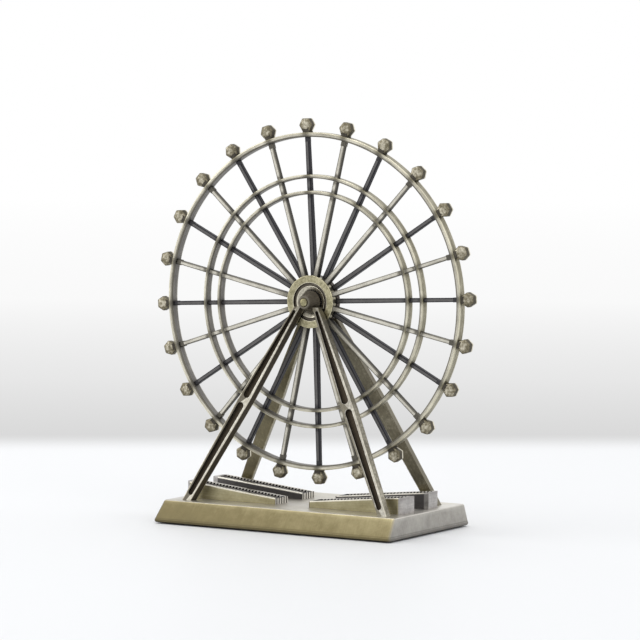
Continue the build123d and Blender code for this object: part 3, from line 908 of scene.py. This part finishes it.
def hoop(inner, outer, half):
    """A hoop about the axle whose polish drops next to each spoke, by a bell curve of the distance, as patina and
    painted shade.
    """
    points, faces, corners, polish_and_light, warmth = lathe(
        [(inner, -half), (outer, -half), (outer, half), (inner, half)],
        0.32,
        sides=[0.76, 0.56, 0.66, 0.44],
        edges=[0.36, 0.84, 0.85, 0.78],
        warm=[0.5, 0.85, 0.5, 0.2],
        turns=HOOP_TURNS,
    )
    turn = np.linspace(0, 360, HOOP_TURNS, endpoint=False)
    pitch = 360 / SPOKES
    off = (turn - REST_PHASE + pitch / 2) % pitch - pitch / 2
    shade = 1 - 0.5 * np.exp(-((np.radians(off) * inner / SHADE_REACH) ** 2))
    polish_and_light = (polish_and_light.reshape(HOOP_TURNS, -1) * shade[:, None]).ravel()
    return points, faces, corners, polish_and_light, warmth


wheel_bronze = antique(
    "wheel_bronze",
    hollow=srgb(34, 31, 32),
    worn=srgb(120, 118, 118),
    bright=srgb(232, 228, 218),
    warm_worn=srgb(134, 128, 104),
    warm_bright=srgb(230, 224, 200),
    streaks=0.9,
    mottle=0.4,
    spots=0.2,
)
for node_name, (inner, outer, half) in HOOPS.items():
    piece_name = node_name + "_hoop"
    make_piece(piece_name, [hoop(inner, outer, half)], wheel_bronze, "wheel", [node_name])

# ---------------------------------------------------------------- spokes
# 24 tapered square bars with a thicker collar inside the rim. Every second one leaves the rear flange and is
# nearly black, left unbrushed and painted dark as shade behind the others; the others leave the front flange
# and are brushed and painted bright in front.
SPOKE_HUB_Y = 1.5  # how far the hub end lies before or behind the middle plane
SPOKE_START = 8.5
SPOKE_WIDTHS = (1.8, 1.5)  # at the hub and at the rim
SPOKE_MIDDLE = 40.0
SPOKE_DEPTHS = (2.5, 2.1, 1.9)  # front to back, at the hub, at SPOKE_MIDDLE and at the rim
RING_SIDES = (38.8, 41.3, 44.8, 47.3)  # radii just inside and outside the two rings, where patina and painted shade darken the bar
COLLAR_START = 58.6
COLLAR_END = 60.45
COLLAR_WIDTH = {"front": 2.0, "rear": 1.75}
RIM_OUTER = 62.1  # radius at which a spoke's line meets the middle plane
SPOKE_PAINT = {  # sides in the order front, flank, rear, flank; fronts painted light, flanks painted shade
    "front": {"sides": [0.84, 0.12, 0.45, 0.12], "edges": 0.42, "warm": 0.4, "collar": 0.24},
    "rear": {"sides": [0.3, 0.06, 0.1, 0.06], "edges": 0.04, "warm": 0.0, "collar": 0.1},
}


def on_wheel(points, index):
    """Points given along x turned to spoke number index, about the axle, as seen from the front."""
    turn = np.radians(REST_PHASE + index * 360 / SPOKES)
    x, y, z = np.moveaxis(points, -1, 0)
    return np.stack([x * np.cos(turn) - z * np.sin(turn), y, AXLE_Z + x * np.sin(turn) + z * np.cos(turn)], -1)


def square_bar(stations, depths, widths, soft):
    """Softened rectangles across the x axis, front side first: grid[i, j] of (x, y, z)."""
    corners = np.array([(-1, -1), (-1, 1), (1, 1), (1, -1)]) / 2
    sections = [[(x, y * deep, z * wide) for y, z in corners] for x, deep, wide in zip(stations, depths, widths)]
    return softened(np.array(sections, float), soft)


def spoke(index, end):
    """Bar and collar, tilted so that the hub end is SPOKE_HUB_Y in front of or behind the middle plane."""
    paint = SPOKE_PAINT[end]
    stations = np.concatenate([[SPOKE_START], np.linspace(9.5, COLLAR_START - 0.1, 90), [COLLAR_START + 0.2]])
    widths = np.interp(stations, [SPOKE_START, COLLAR_START], SPOKE_WIDTHS)
    depths = np.interp(stations, [SPOKE_START, SPOKE_MIDDLE, COLLAR_START], SPOKE_DEPTHS)
    collar_at = np.array([COLLAR_START - 0.15, COLLAR_START, COLLAR_END - 0.12, COLLAR_END])
    collar_widths = COLLAR_WIDTH[end] - np.array([0.35, 0.0, 0.0, 0.2])
    # patina and painted shade make the bar darker beside the rings and next to the hub
    shade = np.ones(len(stations))
    for radius in RING_SIDES:
        shade -= 0.55 * np.exp(-(((stations - radius) / 0.8) ** 2))
    shade *= 1 - 0.5 * np.exp(-((stations - SPOKE_START) / 4.0) ** 2)
    bar = (square_bar(stations, depths, widths, 0.2), edge_paint(paint["sides"], paint["edges"]) * shade[:, None])
    collar = (square_bar(collar_at, collar_widths, collar_widths, 0.3), paint["collar"])
    slant = -SIDE[end] * np.arctan(SPOKE_HUB_Y / RIM_OUTER)
    skins = []
    for grid, polish_and_light in (bar, collar):
        x, y, z = np.moveaxis(grid, -1, 0)
        out = x - RIM_OUTER
        tilted_x = RIM_OUTER + out * np.cos(slant) - y * np.sin(slant)
        tilted_y = out * np.sin(slant) + y * np.cos(slant)
        skins.append(shell(on_wheel(np.stack([tilted_x, tilted_y, z], -1), index), polish_and_light, paint["warm"]))
    return skins


spoke_colours = {
    "worn": srgb(124, 122, 120),
    "bright": srgb(228, 225, 218),
    "warm_worn": srgb(136, 130, 106),
    "warm_bright": srgb(226, 220, 198),
}
dark_bronze = antique("dark_bronze", hollow=srgb(30, 30, 37), streaks=0.5, mottle=0.4, spots=0.2, **spoke_colours)
light_bronze = antique("light_bronze", hollow=srgb(38, 35, 32), streaks=0.6, mottle=0.5, spots=0.2, **spoke_colours)
for end, first, material, slot in (
    ("rear", 0, dark_bronze, "dark_bronze"),
    ("front", 1, light_bronze, "antique_bronze"),
):
    skins = [skin for index in range(first, SPOKES, 2) for skin in spoke(index, end)]
    make_piece(f"{end}_bars", skins, material, "wheel", [f"{end}_spokes"])

# ---------------------------------------------------------------- washers
# The two thin washers between the bosses and the hub keep the CAD's shape and take the dark bronze, as almost
# nothing of them shows.
for name in ("front_washer", "rear_washer"):
    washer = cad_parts[name]
    washer.data.materials.clear()
    washer.data.materials.append(dark_bronze)

# ---------------------------------------------------------------- capsules
# Hexagonal cabins with bevelled, slightly domed ends, each on a small saddle on the rim. The front end's bevel
# is painted dark as shade and the flat sides painted bright towards the rear as the light falls; the saddle
# is painted dark as the shade between rim and cabin.
CAPSULE_RADIUS = 64.88  # of the circle of their middles
CAPSULE_FLAT = 2.43  # from a capsule's middle to a flat side
SADDLE_Y = 1.7
SADDLE_Z = 1.3
CAPSULE_SECTIONS = [  # distance along the axle, scale, polish as painted light and shade
    (-1.75, 0.34, 0.68),
    (-1.72, 0.55, 0.6),
    (-1.62, 0.78, 0.5),
    (-1.54, 0.87, 0.55),
    (-1.36, 0.97, 0.3),
    (-1.25, 1.00, 0.25),
    (-1.05, 1.00, 0.15),
    (0.45, 1.00, 0.2),
    (0.60, 1.00, 0.9),
    (1.18, 1.00, 1.0),
    (1.32, 0.97, 0.8),
    (1.54, 0.87, 0.5),
    (1.62, 0.78, 0.5),
    (1.72, 0.55, 0.6),
    (1.75, 0.34, 0.68),
]


def capsule(index):
    """Scaled hexagons along the axle whose flat side faces the rim, and the saddle's rounded block."""
    turn = np.radians(30 + 60 * np.arange(6))
    reach = CAPSULE_FLAT / np.cos(np.radians(30))
    hexagon = softened(np.stack([reach * np.cos(turn), reach * np.sin(turn)], 1), 0.35)
    cabin = np.array(
        [[(CAPSULE_RADIUS + x * scale, y, z * scale) for x, z in hexagon] for y, scale, _ in CAPSULE_SECTIONS]
    )
    brushed_and_lit = np.array([section[2] for section in CAPSULE_SECTIONS])[:, None]
    corners = np.array([(-SADDLE_Y, -SADDLE_Z), (-SADDLE_Y, SADDLE_Z), (SADDLE_Y, SADDLE_Z), (SADDLE_Y, -SADDLE_Z)])
    stations = (RIM_OUTER - 0.02, CAPSULE_RADIUS - 1.0)
    block = softened(np.array([[(x, y, z) for y, z in corners] for x in stations]), 0.25)
    return [
        shell(on_wheel(cabin, index), brushed_and_lit, 0.6),
        shell(on_wheel(block, index), 0.14, 0.1),
    ]


grey_bronze = antique(
    "grey_bronze",
    hollow=srgb(34, 31, 29),
    worn=srgb(124, 118, 106),
    bright=srgb(232, 228, 218),
    warm_worn=srgb(126, 118, 92),
    warm_bright=srgb(224, 216, 190),
    streaks=0.1,
    mottle=0.9,
    spots=1.3,
)
for index in range(SPOKES):
    number = f"{index + 1:02d}"
    nodes = [f"capsule_{number}"]
    make_piece(f"cabin_{number}", capsule(index), grey_bronze, "wheel", nodes, crease=25)
